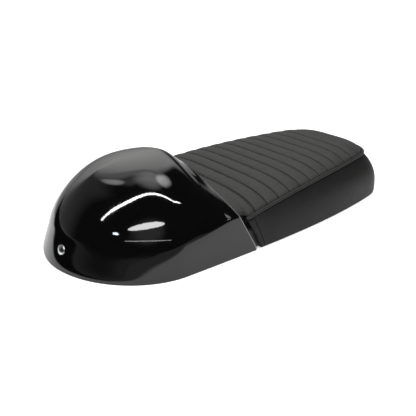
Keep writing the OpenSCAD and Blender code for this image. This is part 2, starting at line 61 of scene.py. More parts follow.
# Cowl: crest, wall, foot, side corner, and the lip's middle
COWL_H, CREST_S, COWL_T, COWL_FOOT_S = 142.5, 184.0, 3.0, 271.0
CORNER_S, CORNER_H, LIP_S, LIP_H = 238.0, 65.0, 242.0, 105.5
SPINE_START, SPINE_DROP, TAIL_LEAN, SIDE_LEAN = 86.0, 14.1, 0.335, 0.046
# Side crease: height at the tail and along the side, then its climb to the corner
CREASE_TAIL_H, CREASE_SIDE_H, CLIMB_S, CLIMB_L = 40.5, 27.0, 85.0, 165.0
# Arches at the tail, halfway and at the lip: shoulder rise, and the crown's reach and drop
RISE, REACH, DROP = (31.3, 60.1, 2.6), (0.478, 0.505, 0.161), (14.0, 2.0, 2.6)
# Pan, the hem round its rim, and the pad's rear end, which steps in beside the cowl
PAN_Z, PAN_T, GAP, RIM_IN = 33.0, 3.0, 0.3, 5.6
HEM_IN = RIM_IN + PAN_T + 3 * GAP
SIDE_TOP_S, SIDE_FOOT_S = CORNER_S + 17, COWL_FOOT_S + 12
PAD_REAR_S, STEP_S, STEP_IN, PAD_REAR_R = CORNER_S - 50, CORNER_S + 20, 12.0, 30.0
FOAM_STEP_S = STEP_S + 9
# Pleat lines, and the stitches in them
PLEAT_FIRST, PLEAT_PITCH, PLEAT_DEPTH = 275.0, 27.0, 3.2
CAP_S = SEAT_L - NOSE_SET - NOSE_L + 23
PLEAT_N = int((CAP_S - 4 - PLEAT_FIRST) // PLEAT_PITCH) + 1
PLEAT_LAST = PLEAT_FIRST + PLEAT_PITCH * (PLEAT_N - 1)
STITCH_PITCH, STITCH_L, STITCH_END, THREAD_R = 4.2, 3.3, 3.0, 0.42
# Cloth simulation of the top cover: frames, and the most that a point may move
CLOTH_FRAMES, CLOTH_REACH = 16, 2.6
# Skirt: seam beside its rear edge and its depth, the welt's half width and height, and the padding's bulge
SKIRT_SEAM, SEAM_DEPTH, WELT_HALF, WELT_H, SKIRT_BULGE = 9.5, 1.7, 4.6, 1.2, 1.1
# Camera fitted to the photograph: picture width and focal length in pixels, place in metres from the tail
PICTURE_PX, FOCAL_PX = 416, 582.69
CAMERA_AZ, CAMERA_EL, CAMERA_PLACE = -37.568, 23.592, (-0.27624, -0.73824, 0.42039)
# Point that the lights face, and height of the overhead tube, in metres
LIT_POINT, TUBE_Z = (-0.15, 0, 0.06), 1.7


def mix(a, b, t):
    """Value t of the way from a to b."""
    return a + (b - a) * t


def clamp(x):
    """x held between 0 and 1."""
    return np.clip(x, 0.0, 1.0)


def smooth(x):
    """Step from 0 to 1 that is level at both ends."""
    t = clamp(x)
    return t * t * (3 - 2 * t)


def unit(rows):
    """Each row at length 1."""
    return rows / np.maximum(np.linalg.norm(rows, axis=1, keepdims=True), 1e-9)


# Plan curves, the same as the solids'


def body_w(s):
    """Half width at the foot."""
    return SEAT_W / 2 - NOSE_TAPER * clamp((s - TAIL_L) / (SEAT_L - TAIL_L)) ** 3


def lean(s):
    """How far the piped edge lies in from the foot."""
    return mix(LEAN_REAR, LEAN_FRONT, clamp((s - EDGE_S) / (SEAT_L - EDGE_S)) ** LEAN_BOW)


def edge_w(s):
    """Half width at the piped edge."""
    return body_w(s) - lean(s)


def edge_z(s):
    """Height of the piped edge."""
    left = 1 - clamp((s - EDGE_S) / (SEAT_L - EDGE_S))
    return EDGE_FRONT_H - (EDGE_FRONT_H - EDGE_REAR_H) * left**EDGE_BOW


def side_s(u):
    """Station on the side for u from 1 to 2."""
    return mix(TAIL_L, SEAT_L - NOSE_L, u - 1)


def side_u(s):
    """The u of a station on the side."""
    return 1 + (s - TAIL_L) / (SEAT_L - NOSE_L - TAIL_L)


def corner(u, back, w):
    """Nose corner for u from 2 to 3, set back, with w of the lean."""
    a = np.pi / 2 * clamp(u - 2)
    s = SEAT_L - NOSE_L - back + NOSE_L * np.sin(a) ** (2 / NOSE_FULL)
    y = (body_w(s) - w * lean(s)) * np.maximum(0, np.cos(a)) ** (2 / NOSE_FULL)
    return np.stack([s, y], -1)


def foot(u):
    """Lower outline of the left half: the tail for u from 0 to 1, then the side and the nose corner."""
    u = np.asarray(u, float)
    a = np.pi / 2 * clamp(u)
    tail_s = TAIL_L * (1 - np.cos(a) ** (2 / TAIL_FULL))
    tail = np.stack([tail_s, SEAT_W / 2 * np.sin(a) ** (2 / TAIL_FULL)], -1)
    side = np.stack([side_s(u), body_w(side_s(u))], -1)
    return np.where((u < 1)[..., None], tail, np.where((u < 2)[..., None], side, corner(u, 0, 0)))


def edge(u):
    """Piped edge of the left half, for u from 1 to 3."""
    u = np.asarray(u, float)
    s = side_s(u)
    s = s - NOSE_SET * smooth((s - 300) / (SEAT_L - NOSE_L - 300))
    return np.where((u < 2)[..., None], np.stack([s, edge_w(s)], -1), corner(u, NOSE_SET, 1))


def inset(path, d):
    """Plan points moved by d along the normal on the right of the path."""
    t = np.gradient(path, axis=0)
    n = unit(np.stack([t[:, 1], -t[:, 0]], -1))
    return path + np.asarray(d)[..., None] * n if np.ndim(d) else path + d * n


def round_nose(p):
    """Left half's points, followed by the right half's back to the rear."""
    return np.concatenate([p, (p * [1, -1])[-2::-1]])


# Mesh building


def add_mesh(name, verts, faces):
    """Smooth-shaded object at the origin from millimetre points in station coordinates."""
    v = (np.asarray(verts, float).reshape(-1, 3) - [MID_S, 0, 0]) / 1000
    mesh = bpy.data.meshes.new(name)
    mesh.from_pydata([tuple(p) for p in v], [], [tuple(int(i) for i in f) for f in faces])
    bm = bmesh.new()
    bm.from_mesh(mesh)
    bmesh.ops.remove_doubles(bm, verts=bm.verts, dist=2e-6)
    bmesh.ops.recalc_face_normals(bm, faces=bm.faces)
    bm.to_mesh(mesh)
    bm.free()
    mesh.validate()
    mesh.polygons.foreach_set("use_smooth", [True] * len(mesh.polygons))
    obj = bpy.data.objects.new(name, mesh)
    bpy.context.scene.collection.objects.link(obj)
    return obj


def station_points(mesh):
    """The mesh's points in millimetre station coordinates."""
    return np.array([v.co for v in mesh.vertices]) * 1000 + [MID_S, 0, 0]


def store_painted_light_mask(obj, values):
    """Stores how close each point lies to a seam or a trimmed edge, as the mask where the material paints
    shade along seams and a highlight along trimmed edges.
    """
    layer = obj.data.attributes.new("painted_shade_and_highlight", "FLOAT", "POINT")
    layer.data.foreach_set("value", np.asarray(values, np.float32))


def grid_faces(nu, nv, first=0, wrap_v=False):
    """Quads of a grid of nu rows of nv points, the first of which has the number first."""
    i, j = np.meshgrid(np.arange(nu - 1), np.arange(nv if wrap_v else nv - 1), indexing="ij")
    k = (j + 1) % nv
    return (np.stack([i * nv + j, i * nv + k, (i + 1) * nv + k, (i + 1) * nv + j], -1) + first).reshape(-1, 4)


def closed_sheet(name, outer, inner):
    """Closed mesh of two point grids, joined along their borders."""
    nu, nv = outer.shape[:2]
    n = nu * nv
    loop = (
        [i * nv for i in range(nu)]
        + [(nu - 1) * nv + j for j in range(1, nv)]
        + [i * nv + nv - 1 for i in range(nu - 2, -1, -1)]
        + [j for j in range(nv - 2, 0, -1)]
    )
    rim = np.array([[a, b, b + n, a + n] for a, b in zip(loop, [*loop[1:], loop[0]])])
    verts = np.concatenate([outer.reshape(-1, 3), inner.reshape(-1, 3)])
    return add_mesh(name, verts, np.concatenate([grid_faces(nu, nv), grid_faces(nu, nv, n), rim]))


# Cowl


def spine_z(s):
    """Height of the cowl's middle line."""
    rear = COWL_H - SPINE_DROP * ((CREST_S - s) / (CREST_S - SPINE_START)) ** 2
    t = smooth((s - CREST_S) / (LIP_S + 12 - CREST_S)) ** 1.14
    return np.where(s < CREST_S, rear, mix(COWL_H, LIP_H, t))


def along(f, a, b, c, fall=1.0):
    """Value that runs smoothly from a through b, halfway, to c."""
    return np.where(f < 0.5, mix(a, b, smooth(2 * f)), mix(b, c, smooth(2 * f - 1) ** fall))


def cowl_ribs(us, t, nv_wall, nv_arch):
    """Ribs of the left half, from the lower outline up to the spine, on a foot line moved in by t."""
    plan = foot(us)
    s = plan[:, 0]
    full = np.concatenate([(plan * [1, -1])[:0:-1], plan])
    plan = inset(full, t)[len(us) - 1 :]
    plan[0, 1] = 0
    f = s / COWL_FOOT_S
    k = clamp((s - TAIL_L) / (COWL_FOOT_S - TAIL_L))
    back = (COWL_FOOT_S - CORNER_S) * k**2
    low = mix(CREASE_TAIL_H, CREASE_SIDE_H, smooth(s / TAIL_L))
    crease_z = mix(low, CORNER_H, smooth((s - CLIMB_S) / CLIMB_L))
    top = np.stack([mix(SPINE_START, LIP_S, f), 0 * s], -1)
    leant = mix(TAIL_LEAN, SIDE_LEAN, smooth(s / TAIL_L) ** 1.35) * crease_z
    crease = plan + leant[:, None] * unit(top - plan)
    crease[:, 0] -= back
    across = top - crease
    top_z = spine_z(top[:, 0]) - t
    rise = np.maximum(along(f, *RISE, 1.4) + mix(low, CORNER_H, k**1.6) - crease_z, RISE[2])
    start = mix(0.09, 0.02, smooth(2 * f) ** 2)[:, None]
    p0 = np.column_stack([crease, crease_z])
    p1 = np.column_stack([crease + start * across, crease_z + rise])
    p2 = np.column_stack([top - along(f, *REACH)[:, None] * across, top_z - along(f, *DROP)])
    p3 = np.column_stack([top, top_z])
    # The wall stands upright at its foot and leans in above the share turn of its height
    turn = 0.07
    k = (np.linspace(0, 1, nv_wall + 1) ** 1.35)[None, :-1, None]
    upright = (k + turn * (np.exp(-k / turn) - 1)) / (1 - turn)
    foot_line = np.column_stack([plan, 0 * s])[:, None]
    place, height = mix(foot_line, p0[:, None], upright)[..., :2], mix(foot_line, p0[:, None], k)[..., 2:]
    wall = np.concatenate([place, height], 2)
    v = np.linspace(0, 1, nv_arch + 1)[None, :, None]
    w = 1 - v
    arch = w**3 * p0[:, None] + 3 * w * w * v * p1[:, None] + 3 * w * v * v * p2[:, None] + v**3 * p3[:, None]
    return np.concatenate([wall, arch], 1)


def soften(grid, rows, passes, strength):
    """Rounds the crease by averaging each rib's points about the given rows, less towards the lip."""
    g = grid.copy()
    lo, hi = rows
    k = np.linspace(0, 1, len(g))
    strength = (strength * (1 - 0.8 * smooth((k - 0.55) / 0.4)))[:, None, None]
    for _ in range(passes):
        mean = (g[:, lo - 1 : hi - 1] + g[:, lo + 1 : hi + 1]) / 2
        g[:, lo:hi] = mix(g[:, lo:hi], mean, strength)
    return g


def edge_rows(outer, inner, behind):
    """Rows of points that round a free edge, from its outer to its inner points, away from those behind."""
    centre, across = (outer + inner) / 2, (outer - inner) / 2
    out = centre - (behind + inner) / 2
    out = unit(out - across * (np.sum(out * across, 1) / np.sum(across * across, 1))[:, None])
    r = np.linalg.norm(across, axis=1, keepdims=True)
    rows = []
    for turn in (0.25, 0.5, 0.75):
        t = turn * np.pi
        row = centre + across * np.cos(t) + out * r * 0.7 * np.sin(t)
        row[:, 2] = np.maximum(row[:, 2], 0)
        rows.append(row)
    return rows


def close_to(points, line, reach):
    """1 for each point within reach of a point of the line, 0 for the others."""
    tree = KDTree(len(line))
    for i, point in enumerate(line):
        tree.insert(point, i)
    tree.balance()
    return [1.0 if tree.find(point)[2] < reach else 0.0 for point in points]


def make_cowl():
    """Cowl shell with rounded free edges."""
    us = np.concatenate([np.linspace(0, 1, 64), np.linspace(1, side_u(COWL_FOOT_S), 64)[1:]])
    nv_wall, nv_arch = 14, 58

    def both(t):
        half = cowl_ribs(us, t, nv_wall, nv_arch)
        half = soften(half, (nv_wall - 5, nv_wall + 6), passes=14, strength=0.6)
        return np.concatenate([half[:0:-1] * [1, -1, 1], half])

    outer, inner = both(0), both(COWL_T)
    nu, nv = outer.shape[:2]
    n = nu * nv
    # The ribs of both halves end in the same points on the spine
    index = np.arange(n).reshape(nu, nv)
    mid = (nu - 1) // 2
    index[:mid, -1] = index[nu - 1 : mid : -1, -1]

    def quads(first):
        a = index + first
        return np.stack([a[:-1, :-1], a[:-1, 1:], a[1:, 1:], a[1:, :-1]], -1).reshape(-1, 4)

    def over_lip(grid, rib):
        """Points of a rib up to the spine, then down its twin on the other side."""
        return np.concatenate([grid[rib], grid[-1 - rib, -2::-1]])

    # Free edges: the foot line, and the lip from one foot over the top to the other
    foot_line = (index[:, 0], outer[:, 0], inner[:, 0], outer[:, 1])
    lip_line = (over_lip(index, 0), over_lip(outer, 0), over_lip(inner, 0), over_lip(outer, 1))
    verts = [outer.reshape(-1, 3), inner.reshape(-1, 3)]
    faces = [quads(0), quads(n)]
    start = 2 * n
    for ids, *points in (foot_line, lip_line):
        rows = [ids]
        for row in edge_rows(*points):
            verts.append(row)
            rows.append(np.arange(start, start + len(row)))
            start += len(row)
        rows.append(ids + n)
        faces += [np.stack([p[:-1], p[1:], q[1:], q[:-1]], -1) for p, q in zip(rows, rows[1:])]
    obj = add_mesh("cowl_shell", np.concatenate(verts), np.concatenate(faces))
    # The trimmed edge of the lip is painted light grey, a painted highlight along it
    rim = np.concatenate([*verts[-3:], outer[0], outer[-1]])
    store_painted_light_mask(obj, close_to(station_points(obj.data), rim, 0.3))
    return obj


# Pad


def dome(f):
    """Crown across the pad, for f from -1 at the right edge to 1 at the left."""
    return np.maximum(0, 1 - np.abs(f) ** DOME_FULL) ** DOME_END


def crown(s):
    """Height of the pad's middle above its piped edge."""
    d = (np.maximum(s, EDGE_S) - WAIST_S) / WAIST_L
    return CROWN_H + np.where(d < 0, REAR_RISE, FRONT_RISE) * d * d


def cap_angle(f):
    """Angle round the nose at which the column f ends."""
    return np.arccos((0.9 * np.abs(f)) ** (NOSE_FULL / 2))


def nose_pt(a, margin):
    """Point at angle a round the nose of the piped edge, moved in by margin."""
    s = SEAT_L - NOSE_SET - NOSE_L + (NOSE_L - margin) * np.sin(a) ** (2 / NOSE_FULL)
    return np.stack([s, (edge_w(s) - margin) * np.maximum(0, np.cos(a)) ** (2 / NOSE_FULL)], -1)


def top_w(s, margin):
    """Half width of the pad's top, moved in by margin, with the step at its rear end."""
    t = clamp((s - SEAT_L + NOSE_SET + NOSE_L) / (NOSE_L - margin))
    step = STEP_IN * (1 - smooth((s - STEP_S + 3) / 6))
    return (edge_w(s) - margin) * np.maximum(0, 1 - t**NOSE_FULL) ** (1 / NOSE_FULL) - step


def cap_pt(f, t, margin):
    """Row of points from the last straight row, t = 0, to the nose, t = 1."""
    a0 = math.asin(((CAP_S - SEAT_L + NOSE_SET + NOSE_L) / (NOSE_L - margin)) ** (NOSE_FULL / 2))
    a1 = float(cap_angle(1.0))
    line = np.stack([CAP_S + 0 * f, np.abs(f) * top_w(np.float64(CAP_S), margin)], -1)
    front = nose_pt(cap_angle(f), margin)
    chord = mix(nose_pt(np.float64(a0), margin), nose_pt(np.float64(a1), margin), t)
    bulge = nose_pt(np.float64(mix(a0, a1, t)), margin) - chord
    p = mix(line, front, t) + (np.abs(f) ** 8)[:, None] * bulge
    p[:, 1] *= np.sign(f)
    return p


def pad_rise(p, f, margin):
    """Share of the crown at plan points p: full in the middle, none at the piped edge."""
    d = clamp((p[..., 0] - FALL_S) / (nose_pt(cap_angle(f), margin)[..., 0] - FALL_S))
    return dome(f) * np.maximum(0, 1 - d**FALL_FULL) ** (1 / FALL_END)


def pad_plan(margin, per_pleat, n_across, n_cap):
    """Rows of plan points of the pad, and the f of each column."""
    f = np.sin(np.linspace(-np.pi / 2, np.pi / 2, n_across))
    f = mix(f, np.linspace(-1, 1, n_across), 0.45)
    rows = []
    half = PLEAT_PITCH / 2 * np.linspace(0, 1, per_pleat + 1) ** 1.7
    pleat = np.concatenate([half[:-1], PLEAT_PITCH - half[:0:-1]])
    rear = [np.linspace(PAD_REAR_S, STEP_S - 4, 16), np.linspace(STEP_S - 3, PLEAT_FIRST - 4, 9)]
    pleated = (PLEAT_FIRST + PLEAT_PITCH * np.arange(PLEAT_N - 1)[:, None] + pleat[None, :]).ravel()
    ends = [PLEAT_FIRST - half[4:0:-1], pleated, [PLEAT_LAST], PLEAT_LAST + half[1:5]]
    last = np.linspace(PLEAT_LAST + half[4], CAP_S, 3)[1:]
    for s in np.concatenate([*rear, *ends, last]):
        rows.append(np.stack([s + 0 * f, f * top_w(s, margin)], -1))
    for t in np.sin(np.linspace(0, np.pi / 2, n_cap + 1)[1:]):
        rows.append(cap_pt(f, t, margin))
    return np.array(rows), f


def pleat_gap(s):
    """Distance from station s to the nearest pleat line."""
    k = np.clip(np.round((s - PLEAT_FIRST) / PLEAT_PITCH), 0, PLEAT_N - 1)
    return np.abs(s - PLEAT_FIRST - k * PLEAT_PITCH)


def pleat_dip(s, f):
    """Depth of the pleating at station s: a narrow stitched valley between rounded pleats."""
    d = pleat_gap(s)
    t = clamp(d / (PLEAT_PITCH / 2))
    valley = 0.62 * (1 - t) ** 2.2 + 0.6 * np.exp(-((d / 1.15) ** 2))
    return PLEAT_DEPTH * valley * (1 - 0.55 * np.abs(f) ** 10)


def puff(grid, held, limit):
    """Displacement of a cover's grid, blown out against its held points by a cloth simulation."""
    nu, nv = grid.shape[:2]
    obj = add_mesh("cover_cloth", grid, grid_faces(nu, nv))
    if len(obj.data.vertices) != nu * nv:
        raise RuntimeError("cover grid has double points")
    group = obj.vertex_groups.new(name="held")
    for i, weight in enumerate(held.ravel()):
        if weight > 0:
            group.add([i], float(weight), "REPLACE")
    cloth = obj.modifiers.new("cloth", "CLOTH")
    cloth.settings.quality = 5
    cloth.settings.mass = 0.12
    cloth.settings.tension_stiffness = cloth.settings.compression_stiffness = 12
    cloth.settings.shear_stiffness = 6
    cloth.settings.bending_stiffness = 0.6
    cloth.settings.vertex_group_mass = "held"
    cloth.settings.use_pressure = True
    cloth.settings.uniform_pressure_force = 2.2
    cloth.settings.shrink_min = -0.002
    cloth.settings.effector_weights.gravity = 0
    cloth.collision_settings.use_collision = False
    cloth.point_cache.frame_end = CLOTH_FRAMES
    for frame_no in range(1, CLOTH_FRAMES + 1):
        bpy.context.scene.frame_set(frame_no)
    shape = obj.evaluated_get(bpy.context.evaluated_depsgraph_get()).to_mesh()
    move = station_points(shape).reshape(grid.shape) - grid
    bpy.context.scene.frame_set(1)
    mesh = obj.data
    bpy.data.objects.remove(obj)
    bpy.data.meshes.remove(mesh)
    size = np.linalg.norm(move, axis=2, keepdims=True)
    return move * limit * np.tanh(size / limit) / np.maximum(size, 1e-6)


def cover_move(plan, f):
    """Cloth displacement of the pleated panel, simulated on a coarser grid."""
    coarse, coarse_f = pad_plan(SEAM_IN, per_pleat=4, n_across=61, n_cap=12)
    s = coarse[..., 0]
    z = edge_z(s) + crown(s) * pad_rise(coarse, coarse_f, SEAM_IN) - 0.6 * pleat_dip(s, coarse_f[None, :])
    held = (pleat_gap(s) < 0.3).astype(float)
    held[s < PLEAT_FIRST - 8] = 1
    held[:, [0, -1]] = 1
    held[-1] = 1
    move = puff(np.dstack([coarse, z]), held, CLOTH_REACH)
    # Rows are matched by their station on the middle line, columns by f
    row_at = np.interp(plan[:, plan.shape[1] // 2, 0], s[:, s.shape[1] // 2], np.arange(len(s)))
    col_at = np.interp(f, coarse_f, np.arange(len(coarse_f)))
    i = np.minimum(row_at.astype(int), len(s) - 2)
    j = np.minimum(col_at.astype(int), len(coarse_f) - 2)
    u, v = (row_at - i)[:, None, None], (col_at - j)[None, :, None]
    a, b = move[i][:, j], move[i][:, j + 1]
    c, d = move[i + 1][:, j], move[i + 1][:, j + 1]
    return mix(mix(a, b, v), mix(c, d, v), u)


def make_top():
    """Pleated panel: stitched valleys, puffed vinyl between them, and a quilted thickness."""
    plan, f = pad_plan(SEAM_IN, per_pleat=8, n_across=81, n_cap=14)
    rise = pad_rise(plan, f, SEAM_IN)
    s = plan[..., 0]
    top = edge_z(s) + crown(s) * rise
    outer = np.dstack([plan, top - pleat_dip(s, f[None, :])]) + cover_move(plan, f)
    inner = np.dstack([plan, top - mix(COVER_T, QUILT_T, rise)])
    obj = closed_sheet("pleated_top", outer, inner)
    # Painted shade: darker in the pleat lines, where the stitching draws the vinyl in
    store_painted_light_mask(obj, np.exp(-((pleat_gap(station_points(obj.data)[:, 0]) / 1.5) ** 2)))
    return obj


# Side cover


def side_columns(n_rear, n_side, n_nose):
    """Function that gives the u of each column at height share h, closest together at the rear edge."""
    a = np.linspace(0, 1, n_rear + 1) ** 1.5
    b = np.linspace(0, 1, n_side + 1)[1:]
    c = np.linspace(0, 1, n_nose + 1)[1:]
    u3 = side_u(SIDE_FOOT_S + 37)

    def col_u(h):
        u0 = side_u(mix(SIDE_FOOT_S, SIDE_TOP_S, h))
        return np.concatenate([mix(u0, u3, a), mix(u3, 2, b), 2 + c])

    return col_u


def make_side():
    """Skirt with a welt and a seam along each rear edge, and a hem turned in round the pan's rim."""
    col_u = side_columns(52, 60, 44)

    def plan_row(h):
        u = col_u(h)
        return round_nose(mix(foot(u), edge(u), h**3))

    half_top = edge_z(edge(col_u(1.0))[:, 0]) - 2 * PIPING_R + 0.6
    top_z = np.concatenate([half_top, half_top[-2::-1]])
    n = len(top_z)
    # Distance from the nearer rear edge, halfway up
    step = np.linalg.norm(np.diff(plan_row(0.5), axis=0), axis=1)
    run = np.concatenate([[0], np.cumsum(step)])
    run = np.minimum(run, run[-1] - run)
    groove = -SEAM_DEPTH * np.exp(-(((run - SKIRT_SEAM) / 0.8) ** 2))
    welt = WELT_H * np.clip(1 - ((run - WELT_HALF) / WELT_HALF) ** 2, 0, 1) ** 0.7

    def outside(h):
        fade = smooth(h / 0.06) * smooth((1.02 - h) / 0.05)
        bulge = SKIRT_BULGE * np.sin(np.pi * clamp(h / 0.96)) * smooth((run - 12) / 40)
        return np.column_stack([inset(plan_row(h), -(groove + welt + bulge) * fade), h * top_z])

    def inside(h):
        return np.column_stack([inset(plan_row(h), COVER_T), h * top_z])

    def hem(d, z):
        return np.column_stack([inset(plan_row(0.0), d), np.full(n, z)])

    hs = np.concatenate([np.linspace(1, 0.9, 6), np.linspace(0.9, 0.12, 30)[1:]])
    # Sections of the hem, outside and inside: how far in from the foot line, and height
    turn = [(0.0, 5.0), (0.0, 3.2), (0.35, 1.7), (1.2, 0.6), (2.6, 0.05), (4.6, 0.0)]
    turn += [(HEM_IN - 1, 0.0), (HEM_IN + 0.8, 0.3), (HEM_IN + COVER_T - 0.3, 1.2)]
    turn += [(HEM_IN + COVER_T, z) for z in (COVER_T, 8, 15)]
    back = [(COVER_T, 5.2), (COVER_T, 4.2), (COVER_T, 3.6), (COVER_T + 0.1, 3.1), (2.9, COVER_T + 0.3)]
    back += [(4.6, COVER_T), (HEM_IN - 0.6, COVER_T), (HEM_IN - 0.3, COVER_T + 0.1)]
    back += [(HEM_IN - 0.1, COVER_T + 0.4), (HEM_IN, COVER_T + 1), (HEM_IN, 8), (HEM_IN, 15)]
    outer = np.array([outside(h) for h in hs] + [hem(*at) for at in turn])
    inner = np.array([inside(h) for h in hs] + [hem(*at) for at in back])
    obj = closed_sheet("skirt_cover", outer, inner)
    # Painted shade: darker along the seam groove beside each rear edge
    co = station_points(obj.data)
    line = outer[: len(hs), int(np.argmin(np.abs(run[: n // 2] - SKIRT_SEAM)))]
    near = np.interp(co[:, 2], line[::-1, 2], line[::-1, 0])
    store_painted_light_mask(obj, np.exp(-(((co[:, 0] - near) / 1.3) ** 2)))
    return obj


def tube(name, path, r, n=16, ends=4):
    """Round cord with domed ends along millimetre points."""
    path = np.asarray(path, float)
    t = unit(np.gradient(path, axis=0))
    side = unit(np.stack([t[:, 1], -t[:, 0], 0 * t[:, 0]], -1))
    up = np.cross(side, t)
    angles = np.linspace(0, 2 * np.pi, n, endpoint=False)

    def ring(i, k, push):
        return [path[i] + push * t[i] + k * r * (np.cos(a) * side[i] + np.sin(a) * up[i]) for a in angles]

    rings = []
    for e in range(ends):
        b = (e + 0.4) / ends * np.pi / 2
        rings.append(ring(0, math.sin(b), -r * math.cos(b)))
    rings += [ring(i, 1, 0) for i in range(len(path))]
    for e in range(ends - 1, -1, -1):
        b = (e + 0.4) / ends * np.pi / 2
        rings.append(ring(len(path) - 1, math.sin(b), r * math.cos(b)))
    grid = np.array(rings)
    faces = [tuple(f) for f in grid_faces(len(rings), n, 0, True)]
    faces.append(tuple(range(n)))
    faces.append(tuple(range(len(rings) * n - n, len(rings) * n)))
    return add_mesh(name, grid, faces)


def make_piping():
    """Sewn bead along the pad's edge, from one rear corner round the nose to the other."""
    us = np.concatenate([np.linspace(side_u(SIDE_TOP_S), 2, 110), 2 + np.linspace(0, 1, 50)[1:]])
    plan = inset(round_nose(edge(us)), PIPING_IN)
    z = edge_z(plan[:, 0]) - PIPING_DOWN
    return tube("edge_piping", np.column_stack([plan, z]), PIPING_R)


def make_thread():
    """Stitches that lie in the pleat lines."""
    places, ways = [], []
    for s in PLEAT_FIRST + PLEAT_PITCH * np.arange(PLEAT_N):
        half = float(top_w(np.float64(s), SEAM_IN))
        count = int(2 * (half - STITCH_END) / STITCH_PITCH)
        y = (np.arange(count) - (count - 1) / 2) * STITCH_PITCH
        f = y / half
        plan = np.stack([s + 0 * y, y], -1)
        z = edge_z(s) + crown(s) * pad_rise(plan, f, SEAM_IN) - pleat_dip(plan[:, 0], f) + 0.25
        places.append(np.column_stack([plan, z]))
        ways.append(np.gradient(places[-1], axis=0))
    way = unit(np.concatenate(ways))
    across = unit(np.cross(way, [0, 0, 1.0]))
    up = np.cross(across, way)
    # Rings of each stitch: place along its half length, and share of the thread's radius
    rings, sides = ((-1.0, 0.35), (-0.75, 0.85), (0.0, 1.0), (0.75, 0.85), (1.0, 0.35)), 6
    turns = np.linspace(0, 2 * np.pi, sides, endpoint=False)
    each = len(rings) * sides
    loop = grid_faces(len(rings), sides, 0, True)
    caps = [tuple(range(sides)), tuple(range(each - sides, each))]
    verts, faces = [], []
    for m, t, a, b in zip(np.concatenate(places), way, across, up):
        start = len(verts)
        for k, r in rings:
            middle = m + k * STITCH_L / 2 * t
            verts += [middle + r * THREAD_R * (np.cos(w) * a + np.sin(w) * b) for w in turns]
        faces += [tuple(face + start) for face in loop] + [tuple(i + start for i in cap) for cap in caps]
    return add_mesh("seam_thread", np.array(verts), faces)


def make_rear():
    """Cover of the pad's rear end, whose front ends turn out over the face of the step."""
    r, s0 = PAD_REAR_R, PAD_REAR_S
    y = float(top_w(np.float64(STEP_S - 6), SEAM_IN))
    front_s = FOAM_STEP_S - COVER_T + 1 - GAP
    bend_r = 4.0
    a = np.radians(np.linspace(90, 0, 14))
    bend = np.radians(np.linspace(0, 90, 9))
    left = np.concatenate(
        [
            np.stack([np.full(10, s0), np.linspace(0, y - r, 11)[:-1]], -1),
            np.stack([s0 + r - r * np.sin(a), y - r + r * np.cos(a)], -1),
            np.stack([np.linspace(s0 + r, front_s - bend_r, 16)[1:-1], np.full(14, y)], -1),
            np.stack([front_s - bend_r + bend_r * np.sin(bend), y + bend_r - bend_r * np.cos(bend)], -1),
            np.stack([np.full(6, front_s), np.linspace(y + bend_r, y + STEP_IN - 1.5, 7)[1:]], -1),
        ]
    )
    path = np.concatenate([(left * [1, -1])[:0:-1], left])
    # From the pan up to the quilted panel
    low, high = PAN_Z + PAN_T + GAP, EDGE_REAR_H - COVER_T - GAP
    hs = np.linspace(0, 1, 12)

    def wall(d, h):
        return np.column_stack([inset(path, d), np.full(len(path), mix(low, high, h))])

    return closed_sheet(
        "rear_cover",
        np.array([wall(-1.0, h) for h in hs]),
        np.array([wall(COVER_T - 1, h) for h in hs]),
    )


def make_foam():
    """Foam block with an even skin, where the solid has long facets."""
    mesh = frame["nodes"]["pad_foam"].data.copy()
    mesh.materials.clear()
    obj = bpy.data.objects.new("foam_core", mesh)
    bpy.context.scene.collection.objects.link(obj)
    remesh = obj.modifiers.new("even", "REMESH")
    remesh.mode = "VOXEL"
    remesh.voxel_size = 0.005
    graph = bpy.context.evaluated_depsgraph_get()
    even = bpy.data.meshes.new_from_object(obj.evaluated_get(graph))
    obj.modifiers.clear()
    obj.data = even
    even.polygons.foreach_set("use_smooth", [True] * len(even.polygons))
    return obj


# Materials


def node_maker(tree):
    """Function that adds a node: inputs are linked when given as sockets, otherwise set."""

    def make(kind, inputs=None, **values):
        n = tree.nodes.new(kind)
        for key, value in values.items():
            setattr(n, key, value)
        for key, value in (inputs or {}).items():
            if isinstance(value, bpy.types.NodeSocket):
                tree.links.new(value, n.inputs[key])
            else:
                n.inputs[key].default_value = value
        return n

    return make


